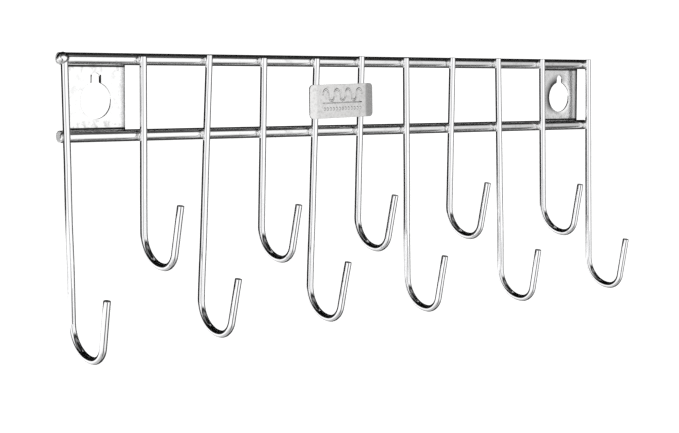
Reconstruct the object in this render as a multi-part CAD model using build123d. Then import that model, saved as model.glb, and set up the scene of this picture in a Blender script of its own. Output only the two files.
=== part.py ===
from build123d import *
from math import cos, radians, sin, tan
import os

# Wall-mounted hook rack of welded stainless wire. Millimetres.
# +X runs along the rails, +Y into the wall, +Z up, and the hooks point along -Y.
# The origin is in the plane of the wall, midway between the two keyholes' round entries.

# Rails: two straight round bars, one above the other
rail_diameter = 6.0
rail_length = 392.0
rail_spacing = 37.5            # centre to centre
rail_end_chamfer = 0.35
row_offset = -1.75             # middle of the rails, from midway between the keyholes

# Hooks: thinner wire, alternately long and short, set wider apart towards the ends
hook_count = 11
wire_diameter = 3.7
middle_bay = 35.0              # hook to hook at the middle of the rack
end_bay = 45.0                 # hook to hook in the two end bays
long_drop = 138.0              # top rail's centre to the lowest point of the wire's centre
short_drop = 101.5
back_bend = 16.5               # radius of the bend below the shank
front_bend = 8.5               # radius of the tighter bend below the tip
tip_lean = 11.5                # degrees that the tip leans away from the wall
tip_rise = 30.0                # lowest point of the wire's centre to its tip
shank_above_rail = 3.0         # top rail's centre to the cut end of the shank
wire_end_chamfer = 0.3

# The hooks are bent and set by hand, so each is a little off its place
hook_shifts = (-0.5, 1.0, 1.5, 0.0, 1.0, -1.0, -1.5, 0.0, 1.0, -0.5, -2.0)   # along +X
hook_leans = (1.5, 0.0, -2.5, -1.0, -2.0, -1.5, 1.0, -1.0, 2.0, 1.5, 1.5)    # degrees, foot towards +X
top_trims = (1.5, 1.5, 0.5, 1.5, 1.5, 0.0, 0.5, 0.0, 0.0, 0.0, 0.0)             # shorter at the top
hook_trims = (6.0, 0.5, 0.5, 1.5, -1.0, 0.0, 0.0, -2.5, 0.5, 0.0, -1.0)      # extra drop
tip_trims = (0.5, 1.5, -0.5, -0.5, 1.5, 0.0, 1.0, 1.5, 0.0, 0.0, 0.0)        # extra rise of the tip

# Mounting plates: sheet, behind the rails in the two end bays, flat on the wall
plate_thickness = 1.2
plate_width = 35.0
plate_overlap = 2.0            # how far each plate runs past the rails' centres
plate_corner = 1.0
plate_edge_band = 3.4          # width and depth of the worked-down long edges
plate_edge_depth = 0.55

# Keyholes: a round entry with a slot above it
keyhole_spacing = 348.0        # between the centres of the two round entries
keyhole_radius = 9.0
keyhole_drop = 20.3            # top rail's centre to the centre of the round entry
keyhole_dish = 2.2             # width and depth of the dished rim of the entry
keyhole_dish_depth = 0.45
slot_width = 5.0
slot_rise = 11.1               # centre of the entry to the centre of the slot's round end

# Badge: thin sheet welded across two neighbouring hooks, its wings bent back past them
badge_hooks = (4, 5)           # counted from 0 at the left
badge_thickness = 0.8
badge_width = 46.5
badge_height = 18.3
badge_drop = 21.3              # top rail's centre to the badge's centre
badge_shift = 0.8              # badge's centre towards +X from midway between its hooks
badge_tilt = 1.5               # degrees, right-hand end up
badge_corner = 2.4
badge_wing_bend = 7.0          # degrees
badge_wing_gap = 0.9           # from a wire's centre out to where its wing starts to bend
badge_rule = (28.5, 0.65)      # length and width of the raised rule across the panel
badge_rule_height = 0.2
badge_rule_drop = 0.9          # below the badge's centre

# Welds
weld_radius = 1.0
weld_length = 2.4              # straight part of each bead on a crossing
crossing_bead_offset = (1.7, 0.35)     # from the wire's centre, and from the face it touches
end_bead_overhang = 0.8                # how far past the rail's left end a bead's centre may be
weld_gap = 0.02              # hair line left between a bead and its wire
tack_radius = 1.1
tack_length = 3.5              # straight part of each tack between plate and rail
tack_pitch = 11.0
tack_offset = (0.5, 1.75)      # from the plate's front, and from the rail's centre
badge_weld_radius = 0.8

rail_radius = rail_diameter / 2
wire_radius = wire_diameter / 2
rail_y = -(plate_thickness + rail_radius)
hook_y = rail_y - rail_radius - wire_radius
top_rail_z = keyhole_drop
bottom_rail_z = top_rail_z - rail_spacing
middle_z = (top_rail_z + bottom_rail_z) / 2
badge_z = top_rail_z - badge_drop
hook_top_z = top_rail_z + shank_above_rail
plate_places = {"left": -keyhole_spacing / 2, "right": keyhole_spacing / 2}


def hook_places():
    """X of each hook: bays that widen towards the ends, then each hook's own shift."""
    places = [0.0]
    bays = hook_count - 1
    middle = (bays - 1) / 2
    for bay in range(bays):
        share = abs(bay - middle) / middle
        places.append(places[-1] + middle_bay + (end_bay - middle_bay) * share**2)
    first = row_offset - places[-1] / 2
    return [first + x + shift for x, shift in zip(places, hook_shifts)]


hooks_x = hook_places()


def plain_bar(z):
    bar = Rot(0, 90, 0) * Cylinder(rail_radius, rail_length)
    return Pos(row_offset, rail_y, z) * bar


def rail(z):
    bar = plain_bar(z)
    ends = bar.faces().filter_by(GeomType.PLANE).edges()
    return chamfer(ends, rail_end_chamfer)


def upright_hook(top, drop, rise):
    """A J of round wire: shank, wide back bend, tight front bend and leaning tip."""
    side = Plane(origin=(0, hook_y, 0), x_dir=(0, -1, 0), z_dir=(-1, 0, 0))
    lowest = top_rail_z - drop
    shank = Line((0, top), (0, lowest + back_bend))
    back = JernArc(shank @ 1, shank % 1, back_bend, 90)
    front = JernArc(back @ 1, back % 1, front_bend, 90 - tip_lean)
    climb = lowest + rise - (front @ 1).Y
    tip = Line(front @ 1, front @ 1 + front % 1 * (climb / cos(radians(tip_lean))))
    path = side * Wire([shank, back, front, tip])
    section = Plane(origin=path @ 0, z_dir=path % 0) * Circle(wire_radius)
    wire = sweep(section, path=path)
    ends = wire.faces().filter_by(GeomType.PLANE).edges()
    return chamfer(ends, wire_end_chamfer)


def leaning(index, shape):
    """Takes a shape on the upright wire at X 0 to the hook's place, leaning as it does."""
    turn = Pos(0, 0, top_rail_z) * Rot(0, -hook_leans[index], 0) * Pos(0, 0, -top_rail_z)
    return Pos(hooks_x[index], 0, 0) * turn * shape


def hook(index):
    drop = short_drop if index % 2 else long_drop
    top = hook_top_z - top_trims[index]
    shape = upright_hook(top, drop + hook_trims[index], tip_rise + tip_trims[index])
    return leaning(index, shape)


def hook_x(index, z):
    """Where the hook's leaning wire is at height z."""
    return hooks_x[index] + (top_rail_z - z) * tan(radians(hook_leans[index]))


def keyhole():
    """The keyhole's outline, with its round entry at the origin."""
    entry = Circle(keyhole_radius)
    slot = Pos(0, slot_rise / 2) * Rectangle(slot_width, slot_rise)
    slot_end = Pos(0, slot_rise) * Circle(slot_width / 2)
    return entry + slot + slot_end


def mounting_plate(x):
    """A plate with its back on the wall, worked-down long edges and a dished keyhole."""
    height = rail_spacing + 2 * plate_overlap
    outline = Pos(0, middle_z) * RectangleRounded(plate_width, height, plate_corner)
    wall = Plane(origin=(x, 0, 0), x_dir=(1, 0, 0), z_dir=(0, -1, 0))
    plate = extrude(wall * (outline - keyhole()), plate_thickness)
    for side in (-1, 1):
        edge = Plane(origin=(x + side * plate_width / 2, -plate_thickness, middle_z))
        wedge = Polyline(
            (0, plate_edge_depth),
            (-side * plate_edge_band, 0),
            (0, -plate_edge_depth),
            (side * plate_edge_depth, 0),
            close=True,
        )
        plate -= extrude(edge * make_face(wedge), height, both=True)
    dish = Cone(keyhole_radius, keyhole_radius + keyhole_dish, keyhole_dish_depth)
    front = Pos(x, keyhole_dish_depth / 2 - plate_thickness, 0)
    return plate - front * Rot(90, 0, 0) * dish


def badge():
    """Flat from hook to hook, with wings bent back past the wires."""
    left, right = (hook_x(i, badge_z) for i in badge_hooks)
    flat = (right - left) / 2 + badge_wing_gap
    inner = wire_radius
    outer = wire_radius + badge_thickness
    bend = radians(badge_wing_bend)

    def bent(radius):
        """Where the bend ends, and a point well out on the wing, at a radius round the wire."""
        turn = (flat + radius * sin(bend), -radius * cos(bend))
        far = (turn[0] + badge_width * cos(bend), turn[1] + badge_width * sin(bend))
        return turn, far

    turn_in, far_in = bent(inner)
    turn_out, far_out = bent(outer)
    lines = Line((0, -inner), (flat, -inner))
    lines += RadiusArc((flat, -inner), turn_in, -inner)
    lines += Line(turn_in, far_in)
    lines += Line(far_in, far_out)
    lines += Line(far_out, turn_out)
    lines += RadiusArc(turn_out, (flat, -outer), outer)
    lines += Line((flat, -outer), (0, -outer))
    lines += Line((0, -outer), (0, -inner))
    half = extrude(make_face(lines), badge_height, both=True)
    sheet = half + mirror(half, about=Plane.YZ)

    front = Plane(origin=(badge_shift, 0, 0), x_dir=(1, 0, 0), z_dir=(0, -1, 0))
    outline = RectangleRounded(badge_width, badge_height, badge_corner)
    sheet &= extrude(front * outline, badge_width, both=True)
    rule = Pos(0, -badge_rule_drop) * Rectangle(*badge_rule)
    sheet += extrude(front.offset(outer) * rule, badge_rule_height)
    return Pos((left + right) / 2, hook_y, badge_z) * Rot(0, -badge_tilt, 0) * sheet


def bead(radius, length):
    """A round-ended bead along Z."""
    body = Cylinder(radius, length)
    for end in (-1, 1):
        body += Pos(0, 0, end * length / 2) * Sphere(radius)
    return body


def wire_at(index):
    """Room for a length of the hook's wire that runs past both rails."""
    middle = Pos(0, hook_y, middle_z)
    return leaning(index, middle * Cylinder(wire_radius + weld_gap, 2 * rail_spacing))


def crossing_welds(z):
    """Beads in the corners on both sides of every hook where it crosses the rail at z.
    At the left end the rail stops behind the hook, and that bead closes the rail's end."""
    bar = plain_bar(z)
    farthest = row_offset - rail_length / 2 - end_bead_overhang
    beads = []
    for index in range(hook_count):
        wire = wire_at(index)
        for side in (-1, 1):
            x = hook_x(index, z) + side * crossing_bead_offset[0]
            place = Pos(max(x, farthest), hook_y + wire_radius - crossing_bead_offset[1], z)
            beads.append(place * bead(weld_radius, weld_length) - wire - bar)
    return Compound(children=[b.solid() for b in beads])


def plate_welds(x):
    """Three tacks along each rail, in the corner between the rail and the plate."""
    tacks = []
    for z, way in ((top_rail_z, -1), (bottom_rail_z, 1)):
        bar = plain_bar(z)
        room = Pos(x, -plate_thickness - rail_diameter, z)
        room *= Box(plate_width, 2 * rail_diameter, 2 * rail_spacing)
        for step in (-1, 0, 1):
            y = -plate_thickness - tack_offset[0]
            place = Pos(x + step * tack_pitch, y, z + way * tack_offset[1])
            tack = place * Rot(0, 90, 0) * bead(tack_radius, tack_length)
            tacks.append((tack & room) - bar)
    return Compound(children=[t.solid() for t in tacks])


def badge_welds():
    """Beads behind the flat panel, on the inner side of each of its two wires."""
    beads = []
    panel_y = hook_y - wire_radius
    room = Pos(row_offset, panel_y + wire_diameter, badge_z)
    room *= Box(rail_length, 2 * wire_diameter, badge_height)
    for index, way in zip(badge_hooks, (1, -1)):
        wire = wire_at(index)
        for step in (-1, 1):
            z = badge_z + step * badge_height / 4
            x = hook_x(index, z) + way * crossing_bead_offset[0]
            bead_at = Pos(x, panel_y + crossing_bead_offset[1], z)
            tack = bead_at * bead(badge_weld_radius, weld_length)
            beads.append((tack & room) - wire)
    return Compound(children=[b.solid() for b in beads])


parts = {
    "top_rail": rail(top_rail_z),
    "bottom_rail": rail(bottom_rail_z),
    "badge_plate": badge(),
    "badge_welds": badge_welds(),
    "top_rail_welds": crossing_welds(top_rail_z),
    "bottom_rail_welds": crossing_welds(bottom_rail_z),
}
for index in range(hook_count):
    kind = "short" if index % 2 else "long"
    parts[f"{kind}_hook_{index + 1:02d}"] = hook(index)
for side, x in plate_places.items():
    parts[f"{side}_mounting_plate"] = mounting_plate(x)
    parts[f"{side}_plate_welds"] = plate_welds(x)

os.makedirs("parts", exist_ok=True)
for name, shape in parts.items():
    export_step(shape, f"parts/{name}.step")
    print(f"{name}: {shape.volume:.1f} mm3")
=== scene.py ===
import bmesh
import bpy
from math import asin, atan2, cos, pi, radians, sin
from mathutils import Matrix, Vector, noise


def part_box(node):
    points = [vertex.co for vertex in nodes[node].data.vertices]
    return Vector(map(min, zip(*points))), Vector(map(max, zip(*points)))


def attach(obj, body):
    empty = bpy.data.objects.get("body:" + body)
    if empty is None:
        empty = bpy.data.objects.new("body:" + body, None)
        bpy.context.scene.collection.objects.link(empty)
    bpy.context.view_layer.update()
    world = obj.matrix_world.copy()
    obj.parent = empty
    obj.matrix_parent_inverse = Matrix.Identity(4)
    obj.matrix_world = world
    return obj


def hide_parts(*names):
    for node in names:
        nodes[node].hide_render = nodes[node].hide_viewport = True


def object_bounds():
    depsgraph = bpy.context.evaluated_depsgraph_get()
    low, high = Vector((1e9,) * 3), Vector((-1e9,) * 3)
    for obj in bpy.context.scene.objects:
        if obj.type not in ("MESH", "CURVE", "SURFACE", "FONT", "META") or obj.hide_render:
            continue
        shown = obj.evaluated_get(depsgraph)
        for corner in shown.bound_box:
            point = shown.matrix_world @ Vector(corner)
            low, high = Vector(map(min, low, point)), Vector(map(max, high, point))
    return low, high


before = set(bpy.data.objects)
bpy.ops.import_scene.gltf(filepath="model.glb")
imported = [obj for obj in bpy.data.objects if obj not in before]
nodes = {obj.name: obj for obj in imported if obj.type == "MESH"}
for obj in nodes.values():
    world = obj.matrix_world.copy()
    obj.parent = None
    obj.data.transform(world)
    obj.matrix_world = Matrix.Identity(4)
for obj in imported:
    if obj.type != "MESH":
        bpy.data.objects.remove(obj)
cadLow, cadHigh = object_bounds()
millimetre = 0.001
mergeDistance = 0.002 * millimetre
topZ, lowZ = (sum(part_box(rail), start=Vector()).z / 2 for rail in ("top_rail", "bottom_rail"))
print("frame loaded:", len(nodes), "CAD nodes")


# Helpers that every piece and finish uses

def finishPiece(bm, node, kind, material):
    bmesh.ops.remove_doubles(bm, verts=bm.verts[:], dist=mergeDistance)
    bmesh.ops.recalc_face_normals(bm, faces=bm.faces[:])
    for face in bm.faces:
        face.smooth = True
    mesh = bpy.data.meshes.new(node + kind)
    bm.to_mesh(mesh)
    bm.free()
    piece = bpy.data.objects.new(node + kind, mesh)
    bpy.context.scene.collection.objects.link(piece)
    piece.data.materials.append(material)
    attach(piece, "root")
    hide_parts(node)


def addNode(tree, kind, **values):
    node = tree.nodes.new(kind)
    for key, value in values.items():
        if hasattr(node, key):
            setattr(node, key, value)
        else:
            node.inputs[key.replace("_", " ")].default_value = value
    return node


def feed(tree, node, *sources):
    for socket, source in zip(node.inputs, sources):
        if isinstance(source, bpy.types.NodeSocket):
            tree.links.new(source, socket)
        else:
            socket.default_value = source
    return node


def addMath(tree, operation, *sources):
    return feed(tree, addNode(tree, "ShaderNodeMath", operation=operation), *sources).outputs[0]


def addVectorMath(tree, operation, *sources):
    node = feed(tree, addNode(tree, "ShaderNodeVectorMath", operation=operation), *sources)
    return node.outputs["Value" if operation in ("LENGTH", "DOT_PRODUCT") else "Vector"]


def addRange(tree, source, low, high, start=0.0, end=1.0):
    node = addNode(tree, "ShaderNodeMapRange", From_Min=low, From_Max=high, To_Min=start, To_Max=end)
    tree.links.new(source, node.inputs["Value"])
    return node.outputs[0]


def addMix(tree, kind, factor, first, second, **values):
    node = addNode(tree, "ShaderNodeMix", data_type=kind, **values)
    for name, source in (("Factor", factor), ("A", first), ("B", second)):
        if isinstance(source, bpy.types.NodeSocket):
            tree.links.new(source, node.inputs[name])
        else:
            node.inputs[name].default_value = source
    return node.outputs["Result"]


def addRamp(tree, source, stops):
    node = addNode(tree, "ShaderNodeValToRGB")
    elements = node.color_ramp.elements
    while len(elements) > 1:
        elements.remove(elements[-1])
    for number, (place, value) in enumerate(stops):
        stop = elements[0] if number == 0 else elements.new(place)
        stop.position = place
        stop.color = (value, value, value, 1)
    tree.links.new(source, node.inputs[0])
    return node.outputs[0]


# Camera

cameraValues = {
    "place": (-0.68595, -0.7305, 0.0123),    # metres
    "yaw": 42.767,                           # degrees, from +Y towards +X
    "pitch": 4.451,                          # degrees down
    "roll": 0.230,
    "lens": 95.49,                           # mm
    "sensor": 36,                            # mm
    "nearest": 0.01,                         # metres
}


def makeCamera(values):
    data = bpy.data.cameras.new("camera")
    data.sensor_fit = "HORIZONTAL"
    data.sensor_width = values["sensor"]
    data.lens = values["lens"]
    data.clip_start = values["nearest"]
    camera = bpy.data.objects.new("camera", data)
    turn = Matrix.Rotation(-radians(values["yaw"]), 4, "Z")
    turn = turn @ Matrix.Rotation(radians(90 - values["pitch"]), 4, "X")
    turn = turn @ Matrix.Rotation(radians(values["roll"]), 4, "Z")
    camera.matrix_world = Matrix.Translation(values["place"]) @ turn
    bpy.context.scene.collection.objects.link(camera)
    bpy.context.scene.camera = camera


makeCamera(cameraValues)


# Studio: the polished metal mirrors a room with bright walls in front, a dark ceiling and a pale table.
# Everything else sees plain white.

studioValues = {
    "floorDrop": 0.16,          # metres below the lowest hook
    "floorSize": 6.0,
    "floorColour": (0.95, 0.95, 0.95, 1),
    "white": 1.2,               # strength of the surroundings
    # height in the room, 0 straight down and 1 straight up, and brightness there
    "levels": [(0.0, 0.45), (0.14, 0.50), (0.22, 0.80), (0.30, 1.0), (0.65, 1.0), (0.70, 0.45),
               (0.73, 0.06), (0.79, 0.015), (0.85, 0.22), (0.88, 0.22), (0.92, 0.02), (1.0, 0.01)],
    # degrees from straight out in front towards +X, and brightness there
    "walls": [(-180, 0.01), (-108, 0.01), (-100, 0.95), (-70, 1.0), (-56, 0.62), (-50, 0.30),
              (-38, 0.30), (-31, 0.92), (-22, 1.0), (36, 1.0), (44, 0.86), (48, 0.58), (54, 0.42),
              (60, 0.34), (66, 0.04), (150, 0.01), (180, 0.01)],
    "table": [(-180, 1.0), (-43, 1.0), (-37, 0.1), (-11, 0.1), (-5, 1.0), (40, 1.0), (52, 0.45),
              (58, 0.10), (112, 0.08), (119, 0.06), (160, 0.12), (172, 1.0), (180, 1.0)],
    "tableEdge": (0.428, 0.448),    # the heights between which the table turns into the walls
}


def makeRoom(values):
    world = bpy.data.worlds.new("studio")
    world.use_nodes = True
    tree = world.node_tree
    tree.nodes.clear()
    coords = addNode(tree, "ShaderNodeTexCoord").outputs["Generated"]
    parts = feed(tree, addNode(tree, "ShaderNodeSeparateXYZ"), coords)
    height = addRange(tree, parts.outputs["Z"], -1.0, 1.0)
    levels = addRamp(tree, height, values["levels"])

    front = addMath(tree, "MULTIPLY", parts.outputs["Y"], -1)
    around = addMath(tree, "ARCTAN2", parts.outputs["X"], front)
    side = addRange(tree, around, -pi, pi)
    walls, table = (addRamp(tree, side, [((angle + 180) / 360, value) for angle, value in values[name]])
                    for name in ("walls", "table"))
    above = addRange(tree, height, *values["tableEdge"])
    sides = addMix(tree, "RGBA", above, table, walls)
    room = addMix(tree, "RGBA", 1, levels, sides, blend_type="MULTIPLY")

    glossy = addNode(tree, "ShaderNodeLightPath").outputs["Is Glossy Ray"]
    seen = addMix(tree, "RGBA", glossy, (1, 1, 1, 1), room)
    background = feed(tree, addNode(tree, "ShaderNodeBackground"), seen, values["white"])
    feed(tree, addNode(tree, "ShaderNodeOutputWorld"), background.outputs[0])
    bpy.context.scene.world = world
    bpy.context.scene.view_settings.view_transform = "Standard"


def makeFloor(values):
    bm = bmesh.new()
    bmesh.ops.create_grid(bm, x_segments=4, y_segments=4, size=values["floorSize"])
    bmesh.ops.translate(bm, verts=bm.verts[:], vec=(0, 0, cadLow.z - values["floorDrop"]))
    material = bpy.data.materials.new("pale_floor")
    material.use_nodes = True
    shader = material.node_tree.nodes["Principled BSDF"]
    shader.inputs["Base Color"].default_value = values["floorColour"]
    shader.inputs["Roughness"].default_value = 1
    shader.inputs["Specular IOR Level"].default_value = 0
    mesh = bpy.data.meshes.new("floor")
    bm.to_mesh(mesh)
    bm.free()
    floor = bpy.data.objects.new("floor", mesh)
    floor.data.materials.append(material)
    floor.visible_glossy = False
    bpy.context.scene.collection.objects.link(floor)


makeRoom(studioValues)
makeFloor(studioValues)
print("camera, room and floor made")


# Finishes. Patterns along a wire or a bar read its own "straight" attribute:
# where each point lay before the wire was bent, across it in X and Y and along it in Z.

def makeGroup(name, inputs, outputs):
    group = bpy.data.node_groups.new(name, "ShaderNodeTree")
    for label, kind, value in inputs:
        socket = group.interface.new_socket(label, in_out="INPUT", socket_type=kind)
        if value is not None:
            socket.default_value = value
    for label, kind in outputs:
        group.interface.new_socket(label, in_out="OUTPUT", socket_type=kind)
    return group, addNode(group, "NodeGroupInput"), addNode(group, "NodeGroupOutput")


def makeDrawLines():
    group, inside, outside = makeGroup(
        "draw_lines",
        [("Vector", "NodeSocketVector", None), ("Across", "NodeSocketFloat", 4000.0),
         ("Along", "NodeSocketFloat", 60.0)],
        [("Height", "NodeSocketFloat"), ("Streak", "NodeSocketFloat")])
    scales = addNode(group, "ShaderNodeCombineXYZ")
    feed(group, scales, *(inside.outputs[name] for name in ("Across", "Across", "Along")))
    stretched = addVectorMath(group, "MULTIPLY", inside.outputs["Vector"], scales.outputs[0])
    lines = addNode(group, "ShaderNodeTexNoise", Scale=1.0, Detail=3.0, Roughness=0.65)
    group.links.new(stretched, lines.inputs["Vector"])
    streak = addRange(group, lines.outputs["Fac"], 0.34, 0.66)
    feed(group, outside, lines.outputs["Fac"], streak)
    return group


def makeStains():
    group, inside, outside = makeGroup(
        "stains",
        [("Vector", "NodeSocketVector", None), ("Scale", "NodeSocketFloat", 90.0),
         ("Bare", "NodeSocketFloat", 0.5), ("Full", "NodeSocketFloat", 0.75)],
        [("Mask", "NodeSocketFloat")])
    cloud = addNode(group, "ShaderNodeTexNoise", Detail=5.0, Roughness=0.6, Distortion=0.4)
    for name in ("Vector", "Scale"):
        group.links.new(inside.outputs[name], cloud.inputs[name])
    mask = addNode(group, "ShaderNodeMapRange", interpolation_type="SMOOTHSTEP")
    feed(group, mask, cloud.outputs["Fac"], inside.outputs["Bare"], inside.outputs["Full"])
    feed(group, outside, mask.outputs[0])
    return group


# Finds the flat ends of a bar, which lie closer to its middle line than its round side does

def makeCutEnds():
    group, inside, outside = makeGroup(
        "cut_ends",
        [("Vector", "NodeSocketVector", None), ("Radius", "NodeSocketFloat", 0.002)],
        [("Mask", "NodeSocketFloat")])
    across = addVectorMath(group, "MULTIPLY", inside.outputs["Vector"], (1, 1, 0))
    away = addVectorMath(group, "LENGTH", across)
    share = addMath(group, "DIVIDE", away, inside.outputs["Radius"])
    feed(group, outside, addRange(group, share, 0.96, 0.86))
    return group


drawLines = makeDrawLines()
stains = makeStains()
cutEnds = makeCutEnds()


def useGroup(tree, group, source, **values):
    node = addNode(tree, "ShaderNodeGroup", node_tree=group)
    tree.links.new(source, node.inputs["Vector"])
    for key, value in values.items():
        node.inputs[key].default_value = value
    return node


# shade, where a finish has one, returns its own stain mask and a second mask: the cut ends on wires and
# rails, painted shade on the plates

def makeMetal(name, values, shade=None):
    material = bpy.data.materials.new(name)
    material.use_nodes = True
    tree = material.node_tree
    shader = tree.nodes["Principled BSDF"]
    shader.inputs["Metallic"].default_value = 1
    if values["pattern"] == "straight":
        source = addNode(tree, "ShaderNodeAttribute", attribute_name="straight").outputs["Vector"]
    else:
        source = addNode(tree, "ShaderNodeTexCoord").outputs["Object"]

    across, along = values["lines"]
    turned = source
    if values["pattern"] == "level":
        turn = addNode(tree, "ShaderNodeMapping", vector_type="POINT", Rotation=(0, radians(90), 0))
        tree.links.new(source, turn.inputs["Vector"])
        turned = turn.outputs[0]
    lines = useGroup(tree, drawLines, turned, Across=across, Along=along)
    size, bare, full = values["stains"]
    mask = useGroup(tree, stains, source, Scale=size, Bare=bare, Full=full).outputs["Mask"]
    if shade is not None:
        mask, worked = shade(tree, source, mask, values)
    base = addMix(tree, "RGBA", mask, values["colour"], values["stainColour"])
    rough = addRange(tree, lines.outputs["Streak"], 0.0, 1.0, *values["roughness"])
    dull = addMath(tree, "MULTIPLY_ADD", mask, values["stainRoughness"], rough)
    if shade is not None:
        # on the plates this second mask is painted shade (rail shadow lines, keyhole crescent, slot sides);
        # on wires and rails it marks the cut ends
        base = addMix(tree, "RGBA", worked, base, values["workedColour"])
        dull = addMix(tree, "FLOAT", worked, dull, values["workedRoughness"])
    tree.links.new(base, shader.inputs["Base Color"])
    tree.links.new(dull, shader.inputs["Roughness"])

    bump = addNode(tree, "ShaderNodeBump", Strength=1.0, Distance=values["lineDepth"])
    tree.links.new(lines.outputs["Height"], bump.inputs["Height"])
    dentScale, dentDepth = values["dents"]
    dents = addNode(tree, "ShaderNodeTexNoise", Scale=dentScale, Detail=2.0)
    tree.links.new(source, dents.inputs["Vector"])
    dented = addNode(tree, "ShaderNodeBump", Strength=1.0, Distance=dentDepth)
    tree.links.new(dents.outputs["Fac"], dented.inputs["Height"])
    tree.links.new(bump.outputs[0], dented.inputs["Normal"])
    tree.links.new(dented.outputs[0], shader.inputs["Normal"])
    return material


wireFinish = {
    "pattern": "straight",
    "colour": (0.90, 0.90, 0.91, 1),
    "stainColour": (0.66, 0.66, 0.66, 1),
    "roughness": (0.03, 0.07),
    "stainRoughness": 0.10,
    "lines": (5200.0, 45.0),             # how fine they are across and along
    "lineDepth": 0.0000012,
    "stains": (160.0, 0.60, 0.82),       # scale, and where they start and are full
    "dents": (260.0, 0.000012),          # scale and depth
    "radius": 0.00185,
    "workedColour": (0.62, 0.62, 0.62, 1),      # the cut ends
    "workedRoughness": 0.32,
}

railFinish = {
    "pattern": "straight",
    "colour": (0.90, 0.90, 0.90, 1),
    "stainColour": (0.60, 0.60, 0.60, 1),
    "roughness": (0.09, 0.17),
    "stainRoughness": 0.12,
    "lines": (3600.0, 30.0),
    "lineDepth": 0.000002,
    "stains": (110.0, 0.56, 0.80),
    "dents": (150.0, 0.00003),
    "radius": 0.003,
    "workedColour": (0.95, 0.95, 0.95, 1),      # the cut ends
    "workedRoughness": 0.60,
}

plateFinish = {
    "pattern": "upright",
    "colour": (0.92, 0.92, 0.92, 1),
    "stainColour": (0.42, 0.42, 0.42, 1),
    "roughness": (0.14, 0.24),
    "stainRoughness": 0.12,
    "lines": (2600.0, 240.0),
    "lineDepth": 0.000003,
    "stains": (330.0, 0.46, 0.72),
    "dents": (520.0, 0.00001),
    # distances from the middle between the rails: where the stains grow, darkening towards each rail as
    # painted shade, and the painted shadow line beside each rail
    "seamStains": (0.0105, 0.0152),
    "seamLine": (0.0146, 0.0150),
    "middleStains": 0.25,                # share of the stains left between the seams
    "smearPlace": (0.174, 0.0, 0.0),     # the right keyhole, painted shade on the upper left of its round entry
    "smearSide": (-0.85, 0.0, 0.5),
    "smearSpread": (0.0105, 0.0150),
    "smearFade": 0.006,
    "smearStrength": 0.85,
    "slotPlace": (-0.174, 0.0, 0.0),     # the left keyhole, painted shadow along its slot's two sides
    "slotAside": (0.00275, 0.0004),      # middle and reach of each dark side, across
    "slotHeight": (0.0098, 0.0028),      # and upwards
    "workedColour": (0.02, 0.02, 0.02, 1),      # all these painted shades
    "workedRoughness": 0.35,
}

badgeFinish = {
    "pattern": "level",
    "colour": (0.74, 0.735, 0.73, 1),
    "stainColour": (0.58, 0.575, 0.57, 1),
    "roughness": (0.20, 0.30),
    "stainRoughness": 0.08,
    "lines": (3400.0, 200.0),
    "lineDepth": 0.000004,
    "stains": (520.0, 0.44, 0.74),
    "dents": (900.0, 0.00001),
}

weldFinish = {
    "pattern": "upright",
    "colour": (0.90, 0.90, 0.90, 1),
    "stainColour": (0.50, 0.49, 0.48, 1),
    "roughness": (0.06, 0.14),
    "stainRoughness": 0.15,
    "lines": (1500.0, 1500.0),
    "lineDepth": 0.000006,
    "stains": (700.0, 0.54, 0.74),
    "dents": (1200.0, 0.00008),
}


def shadeCutEnds(tree, source, mask, values):
    return mask, useGroup(tree, cutEnds, source, Radius=values["radius"]).outputs["Mask"]


def shadePlate(tree, source, mask, values):
    parts = feed(tree, addNode(tree, "ShaderNodeSeparateXYZ"), source)
    level = addMath(tree, "SUBTRACT", parts.outputs["Z"], (topZ + lowZ) / 2)
    away = addMath(tree, "ABSOLUTE", level)
    # the stains grow towards each rail and there stand in for painted shade; line is a painted shadow just
    # inside each rail
    grown = addRange(tree, away, *values["seamStains"], values["middleStains"], 1.0)
    stainsAndRailShadeMask = addMath(tree, "MULTIPLY", grown, mask)
    line = addRange(tree, away, *values["seamLine"])

    # painted shade: a dark crescent on the upper left of the right keyhole's round entry
    fromKeyhole = addVectorMath(tree, "SUBTRACT", source, values["smearPlace"])
    spread = addVectorMath(tree, "LENGTH", fromKeyhole)
    ring = addRange(tree, spread, *values["smearSpread"], values["smearStrength"], 0.0)
    towards = addVectorMath(tree, "DOT_PRODUCT", fromKeyhole, values["smearSide"])
    crescentShade = addMath(tree, "MULTIPLY", ring, addRange(tree, towards, 0.0, values["smearFade"]))

    # painted shadow along the two sides of the left keyhole's slot
    fromSlot = addVectorMath(tree, "SUBTRACT", source, values["slotPlace"])
    slotParts = feed(tree, addNode(tree, "ShaderNodeSeparateXYZ"), fromSlot)
    aside = addMath(tree, "ABSOLUTE", slotParts.outputs["X"])
    besideSlot = addMath(tree, "COMPARE", aside, *values["slotAside"])
    alongSlot = addMath(tree, "COMPARE", slotParts.outputs["Z"], *values["slotHeight"])
    slotShadow = addMath(tree, "MULTIPLY", besideSlot, alongSlot)
    paintedShade = addMath(tree, "MAXIMUM", addMath(tree, "MAXIMUM", line, crescentShade), slotShadow)
    return stainsAndRailShadeMask, paintedShade


wireMetal = makeMetal("polished_wire", wireFinish, shadeCutEnds)
railMetal = makeMetal("polished_rail", railFinish, shadeCutEnds)
plateMetal = makeMetal("satin_plate", plateFinish, shadePlate)
badgeMetal = makeMetal("brushed_badge", badgeFinish)
weldMetal = makeMetal("weld_metal", weldFinish)
print("finishes made")


# Round bar: a ring that is pushed along its own Z and bent towards its own Y, step by step

# the broken edge of a cut: share of the radius, and height in mm
cutEnd = [(0.46, -0.05), (0.80, 0.0), (0.93, -0.05), (0.985, -0.16), (1.0, -0.34)]
cutDepth = -cutEnd[-1][1] * millimetre


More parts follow.
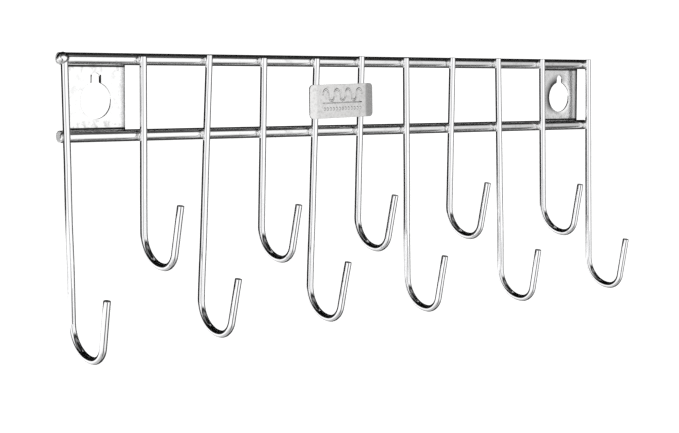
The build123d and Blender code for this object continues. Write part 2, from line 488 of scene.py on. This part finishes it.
def beginBar(bm, place, radius, sides):
    layers = bm.verts.layers.float_vector
    layer = layers.get("straight") or layers.new("straight")
    first, sunk = cutEnd[0]
    start = place @ Matrix.Translation((0, 0, -sunk * millimetre))
    made = bmesh.ops.create_circle(bm, cap_ends=True, segments=sides, radius=first * radius, matrix=start)
    for vert in made["verts"]:
        local = place.inverted() @ vert.co
        vert[layer] = Vector((local.x, local.y, 0))
    edges = [edge for edge in bm.edges if all(vert in made["verts"] for vert in edge.verts)]
    bar = {"bm": bm, "layer": layer, "ring": made["verts"] + edges, "place": start, "along": 0.0}
    for (share, height), (lastShare, lastHeight) in zip(cutEnd[1:], cutEnd):
        pushBar(bar, (lastHeight - height) * millimetre, share / lastShare)
    return bar


def ringParts(bar, made):
    verts = [item for item in made if isinstance(item, bmesh.types.BMVert)]
    kept = set(verts)
    edges = [item for item in made if isinstance(item, bmesh.types.BMEdge)]
    bar["ring"] = verts + [edge for edge in edges if kept.issuperset(edge.verts)]
    for vert in verts:
        across = vert[bar["layer"]]
        vert[bar["layer"]] = Vector((across.x, across.y, bar["along"]))
    return verts


def pushBar(bar, distance, size=1.0):
    bm = bar["bm"]
    edges = [item for item in bar["ring"] if isinstance(item, bmesh.types.BMEdge)]
    bar["along"] += distance
    verts = ringParts(bar, bmesh.ops.extrude_edge_only(bm, edges=edges)["geom"])
    step = Matrix.Translation(bar["place"].to_3x3() @ Vector((0, 0, distance)))
    bar["place"] = step @ bar["place"]
    bmesh.ops.transform(bm, matrix=step, verts=verts)
    if size != 1.0:
        centre = Matrix.Translation(-bar["place"].translation)
        bmesh.ops.scale(bm, vec=(size, size, size), space=centre, verts=verts)
        for vert in verts:
            vert[bar["layer"]] *= Vector((size, size, 1))


def runBar(bar, distance, steps):
    for _ in range(steps):
        pushBar(bar, distance / steps)


def bendBar(bar, radius, angle, steps):
    turn = -angle / steps if radius > 0 else angle / steps
    for _ in range(steps):
        place = bar["place"]
        centre = place @ Vector((0, radius, 0))
        axis = place.to_3x3() @ Vector((1, 0, 0))
        bar["along"] += abs(radius * turn)
        made = bmesh.ops.spin(bar["bm"], geom=bar["ring"], cent=centre, axis=axis, dvec=(0, 0, 0),
                              angle=turn, steps=1, use_merge=False, use_duplicate=False)["geom_last"]
        ringParts(bar, made)
        swing = Matrix.Translation(centre) @ Matrix.Rotation(turn, 4, axis) @ Matrix.Translation(-centre)
        bar["place"] = swing @ place


def endBar(bar):
    for (share, height), (nextShare, nextHeight) in zip(cutEnd[::-1], cutEnd[-2::-1]):
        pushBar(bar, (nextHeight - height) * millimetre, nextShare / share)
    edges = [item for item in bar["ring"] if isinstance(item, bmesh.types.BMEdge)]
    bmesh.ops.edgeloop_fill(bar["bm"], edges=edges)


# Rails

railValues = {
    "diameter": 6.0,        # mm
    "sides": 48,
    "step": 8.0,
    "wave": 0.05,           # how far the bar wanders off straight
    "waveLength": 60.0,
    "seeds": (3.7, 8.2),
}


def makeRail(node, values, seed):
    low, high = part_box(node)
    radius = values["diameter"] / 2 * millimetre
    middle = (low + high) / 2
    turn = Matrix.Rotation(radians(90), 4, "Y")
    place = Matrix.Translation((low.x, middle.y, middle.z)) @ turn
    bm = bmesh.new()
    bar = beginBar(bm, place, radius, values["sides"])
    length = high.x - low.x - 2 * cutDepth
    runBar(bar, length, round(length / (values["step"] * millimetre)))
    endBar(bar)
    for vert in bm.verts:
        along = vert.co.x / (values["waveLength"] * millimetre)
        vert.co.z += values["wave"] * millimetre * noise.noise(Vector((along, seed, 0)))
    finishPiece(bm, node, "_bar", railMetal)


for node, seed in zip(("top_rail", "bottom_rail"), railValues["seeds"]):
    makeRail(node, railValues, seed)
print("rails made")


# Hooks

hookValues = {
    "diameter": 3.7,        # mm
    "sides": 32,
    "step": 5.0,
    "backBend": 16.5,       # radius of the bend below the shank
    "frontBend": 8.5,       # radius of the tighter bend below the tip
    "tipLean": 11.5,        # degrees
    "bendSteps": (22, 14),
    "tipSteps": 4,
    "wave": 0.55,           # how far the wire wanders off straight below the rails, sideways
    "waveDepth": 0.5,       # share of that towards the wall
    "waveLength": 46.0,
    "steady": 12.0,         # it starts this far below the lower rail
    "seedStep": 1.3,
}


def readHook(node, values):
    radius = values["diameter"] / 2 * millimetre
    low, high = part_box(node)
    points = [vert.co for vert in nodes[node].data.vertices]
    top = [point for point in points if point.z > high.z - radius]
    foot = [point for point in points if point.z < low.z + radius]
    topX = (min(point.x for point in top) + max(point.x for point in top)) / 2
    footX = (min(point.x for point in foot) + max(point.x for point in foot)) / 2
    lean = atan2(footX - topX, high.z - low.z - 2 * radius)
    front = [point for point in points if point.y < low.y + radius]
    return {
        "lean": lean,
        "x": topX + (high.z - topZ) * sin(lean),
        "y": high.y - radius,
        "top": (high.z - topZ) / cos(lean),
        "drop": (topZ - radius - low.z) / cos(lean),
        "tip": max(point.z for point in front) - low.z - radius,
    }


def makeHook(node, values, seed):
    radius = values["diameter"] / 2 * millimetre
    hook = readHook(node, values)
    lowest = topZ - hook["drop"]
    backBend = values["backBend"] * millimetre
    frontBend = values["frontBend"] * millimetre
    lean = radians(values["tipLean"])
    place = Matrix.Translation((0, hook["y"], topZ + hook["top"])) @ Matrix.Rotation(pi, 4, "X")
    bm = bmesh.new()
    bar = beginBar(bm, place, radius, values["sides"])
    shank = bar["place"].translation.z - lowest - backBend
    runBar(bar, shank, round(shank / (values["step"] * millimetre)))
    backSteps, frontSteps = values["bendSteps"]
    bendBar(bar, backBend, radians(90), backSteps)
    bendBar(bar, frontBend, radians(90) - lean, frontSteps)
    climb = lowest + hook["tip"] - bar["place"].translation.z
    tip = climb / cos(lean) - cutDepth - radius * sin(lean)
    runBar(bar, tip, values["tipSteps"])
    endBar(bar)

    layer = bm.verts.layers.float_vector["straight"]
    steady = topZ - lowZ + values["steady"] * millimetre
    for vert in bm.verts:
        along = vert[layer].z
        loose = max(0.0, min(1.0, (along - steady) / steady))
        step = along / (values["waveLength"] * millimetre)
        sway = values["wave"] * millimetre * loose
        vert.co.x += sway * noise.noise(Vector((step, seed, 0)))
        vert.co.y += values["waveDepth"] * sway * noise.noise(Vector((step, seed, 5)))
    turn = Matrix.Rotation(-hook["lean"], 3, "Y")
    bmesh.ops.rotate(bm, cent=(0, 0, topZ), matrix=turn, verts=bm.verts[:])
    bmesh.ops.translate(bm, vec=(hook["x"], 0, 0), verts=bm.verts[:])
    finishPiece(bm, node, "_wire", wireMetal)
    return hook


hookNodes = sorted((name for name in nodes if "_hook_" in name), key=lambda name: name[-2:])
hooks = [makeHook(node, hookValues, hookValues["seedStep"] * number) for number, node in enumerate(hookNodes)]
print(len(hooks), "hooks made")


# Mounting plates: loops grown outwards from the keyhole to the rim, then round to the back

plateValues = {
    "thickness": 1.2,       # mm
    "width": 35.0,
    "corner": 1.4,
    "edgeBand": 3.4,        # the long edges are worked down over this width
    # left and right plate: depth of the long edges, of the dish, and how much deeper its left side is
    "worked": ((0.02, 0.08, 0.0), (0.55, 0.30, 0.6)),
    "edgeCurve": 1.7,
    "entryRadius": 9.0,
    "dish": 2.2,            # width of the dished rim of the round entry
    "dishCurve": 1.6,
    "slotWidth": 5.0,
    "slotRise": 11.1,
    "slotSpread": 0.25,     # share of a loop's spread that its slot takes
    "burr": 0.12,           # rounding of the cut edges
    "wallFoot": (0.45, 0.35),       # shares of the thickness left upright, in the keyhole and at the rim
    "wave": 0.10,           # how far the sheet is off flat
    "waveLength": 12.0,
    "waves": ((0.5, 1.0), (0.12, 3.1)),     # share and fineness
    # loops round the keyhole, on the way to the rim, and inside the rim
    "entryLoops": (0.03, 0.12, 0.5, 1.0, 1.5, 2.0, 2.4),
    "betweenLoops": (0.12, 0.24, 0.36, 0.48, 0.60, 0.72, 0.84),
    "rimLoops": (3.4, 2.9, 2.4, 1.9, 1.4, 0.9, 0.4, 0.1, 0.03),
    # half a loop, counted in steps from the top of the slot
    "slotEnd": 10, "slotFoot": 19, "topCorner": 27, "bottomCorner": 64, "bottom": 80,
    "seeds": (2.0, 7.0),
}


def keyholePoint(values, step, spread):
    half = values["slotWidth"] / 2 + values["slotSpread"] * spread
    radius = values["entryRadius"] + spread
    rise = values["slotRise"]
    corner = asin(half / radius)
    if step < values["slotEnd"]:
        angle = pi / 2 * step / values["slotEnd"]
        return half * sin(angle), rise + half * cos(angle)
    if step < values["slotFoot"]:
        share = (step - values["slotEnd"]) / (values["slotFoot"] - values["slotEnd"])
        return half, rise + (radius * cos(corner) - rise) * share
    share = (step - values["slotFoot"]) / (values["bottom"] - values["slotFoot"])
    angle = corner + (pi - corner) * share
    return radius * sin(angle), radius * cos(angle)


def rimPoint(values, step, inset, lowEdge, highEdge):
    half = values["width"] / 2
    if step < values["topCorner"]:
        x, z = half * step / values["topCorner"], highEdge
    elif step < values["bottomCorner"]:
        share = (step - values["topCorner"]) / (values["bottomCorner"] - values["topCorner"])
        x, z = half, highEdge + (lowEdge - highEdge) * share
    else:
        share = (step - values["bottomCorner"]) / (values["bottom"] - values["bottomCorner"])
        x, z = half * (1 - share), lowEdge
    middle = (highEdge + lowEdge) / 2
    tall = (highEdge - lowEdge) / 2
    x *= (half - inset) / half
    z = middle + (z - middle) * (tall - inset) / tall
    corner = values["corner"]
    past = Vector((x - (half - inset - corner), abs(z - middle) - (tall - inset - corner)))
    if past.x > 0 and past.y > 0 and past.length > corner:
        shift = past * (corner / past.length - 1)
        x += shift.x
        z += shift.y if z > middle else -shift.y
    return x, z


def plateFront(values, x, z, seed, worked):
    y = -values["thickness"]
    band = values["edgeBand"]
    past = max(0.0, abs(x) - (values["width"] / 2 - band)) / band
    edgeDepth, dishDepth, lopsided = worked
    y += edgeDepth * past ** values["edgeCurve"]
    rim = (Vector((x, z)).length - values["entryRadius"]) / values["dish"]
    if 0 <= rim < 1:
        deeper = 1 - lopsided * x / values["entryRadius"]
        y += dishDepth * deeper * (1 - rim) ** values["dishCurve"]
    spot = Vector((x, z, seed)) / values["waveLength"]
    return y + values["wave"] * sum(share * noise.noise(spot * fine) for share, fine in values["waves"])


def makePlate(node, values, seed, worked):
    low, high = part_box(node)
    centre = (low.x + high.x) / 2
    lowEdge, highEdge = low.z / millimetre, high.z / millimetre
    bottom = values["bottom"]
    burr = values["burr"]
    bm = bmesh.new()
    layer = bm.verts.layers.float.new("step")
    ring = bmesh.ops.create_circle(bm, cap_ends=False, segments=2 * bottom, radius=millimetre)["verts"]
    for number, vert in enumerate(ring):
        vert[layer] = number

    def place(verts, blend, spread, inset, depth=None):
        for vert in verts:
            step = vert[layer]
            way = 1 if step <= bottom else -1
            step = min(step, 2 * bottom - step)
            inner = Vector(keyholePoint(values, step, spread))
            outer = Vector(rimPoint(values, step, inset, lowEdge, highEdge))
            x, z = inner.lerp(outer, blend)
            y = plateFront(values, way * x, z, seed, worked) if depth is None else depth
            vert.co = Vector((way * x, y, z)) * millimetre
            vert.co.x += centre

    def grow(edges, *spot):
        made = bmesh.ops.extrude_edge_only(bm, edges=edges)["geom"]
        verts = [item for item in made if isinstance(item, bmesh.types.BMVert)]
        kept = set(verts)
        place(verts, *spot)
        edges = [item for item in made if isinstance(item, bmesh.types.BMEdge)]
        return [edge for edge in edges if kept.issuperset(edge.verts)]

    place(ring, 0, burr, 0, 0)
    back = bm.edges[:]
    edges = grow(back, 0, 0, 0, -burr)
    holeFoot, rimFoot = (-share * values["thickness"] for share in values["wallFoot"])
    edges = grow(edges, 0, 0, 0, holeFoot)
    for spread in values["entryLoops"]:
        edges = grow(edges, 0, spread, 0)
    for share in values["betweenLoops"]:
        edges = grow(edges, share, values["entryLoops"][-1], values["edgeBand"])
    for inset in values["rimLoops"]:
        edges = grow(edges, 1, 0, inset)
    for inset, depth in ((0, rimFoot), (0, -burr), (burr, 0)):
        edges = grow(edges, 1, 0, inset, depth)
    bmesh.ops.bridge_loops(bm, edges=edges + back)
    finishPiece(bm, node, "_sheet", plateMetal)


plateNodes = ("left_mounting_plate", "right_mounting_plate")
for node, seed, worked in zip(plateNodes, plateValues["seeds"], plateValues["worked"]):
    makePlate(node, plateValues, seed, worked)
print("mounting plates made")


# Badge: thin sheet with its wings bent back, a wave, a rule and a row of studs raised on it

badgeValues = {
    "hooks": (4, 5),        # counted from 0 at the left
    "width": 46.5,          # mm
    "height": 18.3,
    "shift": 0.8,
    "drop": 21.3,
    "tilt": 1.5,            # degrees
    "thickness": 0.8,
    "corner": 2.4,
    "cornerSegments": 8,
    "cuts": (24, 8),        # across and upwards, so that the panel can curve
    "wingBend": 7.0,        # degrees
    "wingGap": 0.9,         # from the wires to each bend
    "softness": 1.2,        # width of each bend
    "bendCuts": (0, 0.33, 0.67, 1),
    "edge": (0.05, 0.05, 0.08, 0.5),     # loops inwards from the rim
    "edgeDrop": 0.07,
    "crown": 0.12,          # how far the pressed panel stands proud in the middle
    "rule": (28.5, 0.36, -0.9),          # length, radius, height above the middle
    "wave": (7, 2.05, 0.46, 1.5, 3.4),       # half turns, their radius, the line's radius, stretch, height
    "studs": (13, 2.2, 0.7, 1.5, 0.6, -4.1),     # number, pitch, radius, stretch, flatness, height
    "markSides": 10,
    "markSteps": (14, 12),               # in each half turn of the wave, and along the rule
    "markDepth": 0.12,                   # how deep the marks sit in the panel
}


def hookX(number, z):
    hook = hooks[number]
    return hook["x"] + (topZ - z) * sin(hook["lean"]) / cos(hook["lean"])


def addMarks(bm, values, depth):
    shift = values["shift"]
    sides = values["markSides"]
    turnSteps, ruleSteps = values["markSteps"]
    turns, radius, line, stretch, height = values["wave"]
    before = set(bm.verts)
    start = Matrix(((0, 1, 0, shift - turns * radius), (0, 0, 1, 0), (1, 0, 0, depth), (0, 0, 0, 1)))
    bar = beginBar(bm, start, line, sides)
    for number in range(turns):
        bendBar(bar, radius if number % 2 == 0 else -radius, pi, turnSteps)
    endBar(bar)
    wave = [vert for vert in bm.verts if vert not in before]
    bmesh.ops.scale(bm, vec=(1, stretch, 1), verts=wave)
    bmesh.ops.translate(bm, vec=(0, height, 0), verts=wave)

    length, line, height = values["rule"]
    start = Matrix.Translation((shift - length / 2, height, depth)) @ Matrix.Rotation(pi / 2, 4, "Y")
    bar = beginBar(bm, start, line, sides)
    runBar(bar, length, ruleSteps)
    endBar(bar)

    count, pitch, radius, stretch, flatness, height = values["studs"]
    for number in range(count):
        stud = bmesh.ops.create_icosphere(bm, subdivisions=3, radius=radius)["verts"]
        bmesh.ops.scale(bm, vec=(1, stretch, flatness), verts=stud)
        x = shift + (number - (count - 1) / 2) * pitch
        bmesh.ops.translate(bm, vec=(x, height, depth), verts=stud)


def cutSheet(bm, place, normal):
    everything = bm.verts[:] + bm.edges[:] + bm.faces[:]
    bmesh.ops.bisect_plane(bm, geom=everything, plane_co=place, plane_no=normal)


def makeBadge(node, values):
    z = topZ - values["drop"] * millimetre
    left, right = (hookX(number, z) for number in values["hooks"])
    hookY = hooks[values["hooks"][0]]["y"]
    wire = hookValues["diameter"] / 2
    flat = (right - left) / 2 / millimetre + values["wingGap"]
    bend = radians(values["wingBend"])
    soft = values["softness"]
    half = Vector((values["width"] / 2, values["height"] / 2))
    front = -(wire + values["thickness"])

    bm = bmesh.new()
    bm.verts.layers.float_vector.new("straight")
    bmesh.ops.create_grid(bm, x_segments=1, y_segments=1, size=1)
    bmesh.ops.scale(bm, vec=(half.x, half.y, 1), verts=bm.verts[:])
    bmesh.ops.bevel(bm, geom=bm.verts[:], offset=values["corner"], segments=values["cornerSegments"],
                    profile=0.5, affect="VERTICES", material=-1)
    bmesh.ops.translate(bm, vec=(values["shift"], 0, front), verts=bm.verts[:])
    outline = bm.faces[:]
    for inset in values["edge"]:
        bmesh.ops.inset_region(bm, faces=outline, thickness=inset, depth=0, use_boundary=True,
                               use_even_offset=True)
    columns, rows = values["cuts"]
    bendPlaces = [(side * (flat + soft * share), 0, 0) for side in (-1, 1) for share in values["bendCuts"]]
    for number in range(1, columns):
        cutSheet(bm, (values["shift"] - half.x + values["width"] * number / columns, 0, 0), (1, 0, 0))
    for place in bendPlaces:
        cutSheet(bm, place, (1, 0, 0))
    for number in range(1, rows):
        cutSheet(bm, (0, -half.y + values["height"] * number / rows, 0), (0, 1, 0))
    rim = [vert for vert in bm.verts if vert.is_boundary]
    bmesh.ops.translate(bm, vec=(0, 0, values["edgeDrop"]), verts=rim)
    addMarks(bm, values, front + values["markDepth"])
    for vert in bm.verts:
        away = Vector(((vert.co.x - values["shift"]) / flat, vert.co.y / half.y))
        vert.co.z -= values["crown"] * max(0.0, 1 - away.x**2) * max(0.0, 1 - away.y**2)
    rimEdges = [edge for edge in bm.edges if edge.is_boundary]
    made = bmesh.ops.extrude_edge_only(bm, edges=rimEdges)["geom"]
    lower = [item for item in made if isinstance(item, bmesh.types.BMVert)]
    for vert in lower:
        vert.co.z = -wire
    bottomEdges = [edge for edge in bm.edges if edge.is_boundary]
    backFace = bmesh.ops.edgeloop_fill(bm, edges=bottomEdges)["faces"]
    for place in bendPlaces:
        backEdges = list({edge for face in backFace for edge in face.edges})
        cut = bmesh.ops.bisect_plane(bm, geom=backEdges + backFace, plane_co=place, plane_no=(1, 0, 0))
        backFace = [item for item in cut["geom"] if isinstance(item, bmesh.types.BMFace)]

    for vert in bm.verts:
        side = 1 if vert.co.x > 0 else -1
        past = abs(vert.co.x) - flat
        if past > 0:
            bent = min(past, soft)
            beyond = max(0.0, past - soft)
            vert.co.x = side * (flat + bent + beyond * cos(bend))
            vert.co.z += bent / 2 * sin(bend * bent / soft) + beyond * sin(bend)
    bmesh.ops.scale(bm, vec=(millimetre, millimetre, millimetre), verts=bm.verts[:])
    upright = Matrix.Rotation(radians(90), 3, "X") @ Matrix.Rotation(radians(values["tilt"]), 3, "Z")
    bmesh.ops.rotate(bm, cent=(0, 0, 0), matrix=upright, verts=bm.verts[:])
    bmesh.ops.scale(bm, vec=(1, -1, 1), verts=bm.verts[:])
    bmesh.ops.translate(bm, vec=((left + right) / 2, hookY, z), verts=bm.verts[:])
    finishPiece(bm, node, "_sheet", badgeMetal)


# Welds: lumpy nuggets run into the corners between wire, rail and sheet

weldValues = {
    "fineness": 4,
    "lump": 0.13,                   # mm
    "lumpSize": 0.9,
    "crossing": (1.08, 1.08, 2.15),     # half sizes
    "crossingPlace": (1.62, 1.45),      # out from the wire's centre, and towards the wall
    "crossingWobble": (0.3, 0.1),       # up or down, and share of the size
    "endOverhang": 0.8,                 # past the end of the rail
    "cap": (3.3, 2.7, 3.0),             # blob over the first hook's top
    "capPlace": (-0.8, 0.1, 0.2),       # from where that hook crosses the rail
    "tack": (2.8, 1.1, 1.1),
    "tackPitch": 11.0,
    "tackPlace": (0.5, 1.75),           # in front of the plate, and from the middle of the rail
    "badgeBead": (0.8, 0.75, 1.9),
    "badgeBeadPlace": (1.7, 0.35, 4.575),       # beside the wire, behind the badge, off its middle height
    "seeds": {"top_rail": 11.0, "bottom_rail": 31.0, "left_plate": 51.0, "right_plate": 61.0, "badge": 71.0},
}


def addNugget(bm, place, size, seed):
    values = weldValues
    made = bmesh.ops.create_icosphere(bm, subdivisions=values["fineness"], radius=1)["verts"]
    bmesh.ops.scale(bm, vec=Vector(size) * millimetre, verts=made)
    bmesh.ops.translate(bm, vec=place, verts=made)
    for vert in made:
        out = (vert.co - place).normalized()
        spot = vert.co / (values["lumpSize"] * millimetre) + Vector((seed, 0, 0))
        vert.co += out * noise.noise(spot) * values["lump"] * millimetre


def makeCrossingWelds(node, rail, values, seed):
    low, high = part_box(rail)
    z = (low.z + high.z) / 2
    out, back = (value * millimetre for value in values["crossingPlace"])
    shift, swell = values["crossingWobble"]
    bm = bmesh.new()
    for number, hook in enumerate(hooks):
        for side in (-1, 1):
            x = max(hookX(number, z) + side * out, low.x - values["endOverhang"] * millimetre)
            wobble = noise.noise(Vector((number, side, seed)))
            place = Vector((x, hook["y"] + back, z + shift * wobble * millimetre))
            size = Vector(values["crossing"]) * (1 + swell * wobble)
            addNugget(bm, place, size, seed + number + side)
    if rail == "top_rail":
        place = Vector(values["capPlace"]) * millimetre + Vector((hookX(0, z), hooks[0]["y"], z))
        addNugget(bm, place, values["cap"], seed)
    finishPiece(bm, node, "_nuggets", weldMetal)


def makePlateTacks(node, plate, values, seed):
    low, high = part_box(plate)
    x = (low.x + high.x) / 2
    off, across = (value * millimetre for value in values["tackPlace"])
    bm = bmesh.new()
    for z, way in ((topZ, -1), (lowZ, 1)):
        for step in (-1, 0, 1):
            place = Vector((x + step * values["tackPitch"] * millimetre, low.y - off, z + way * across))
            addNugget(bm, place, values["tack"], seed + step + way)
    finishPiece(bm, node, "_nuggets", weldMetal)


def makeBadgeWelds(node, values, seed):
    out, back, rise = (value * millimetre for value in values["badgeBeadPlace"])
    middle = topZ - badgeValues["drop"] * millimetre
    bm = bmesh.new()
    for number, way in zip(badgeValues["hooks"], (1, -1)):
        for step in (-1, 1):
            z = middle + step * rise
            panelY = hooks[number]["y"] - hookValues["diameter"] / 2 * millimetre
            place = Vector((hookX(number, z) + way * out, panelY + back, z))
            addNugget(bm, place, values["badgeBead"], seed + number + step)
    finishPiece(bm, node, "_nuggets", weldMetal)


makeBadge("badge_plate", badgeValues)
seeds = weldValues["seeds"]
for rail in ("top_rail", "bottom_rail"):
    makeCrossingWelds(rail + "_welds", rail, weldValues, seeds[rail])
for side, plate in zip(("left_plate", "right_plate"), plateNodes):
    makePlateTacks(side + "_welds", plate, weldValues, seeds[side])
makeBadgeWelds("badge_welds", weldValues, seeds["badge"])
print("badge and welds made")
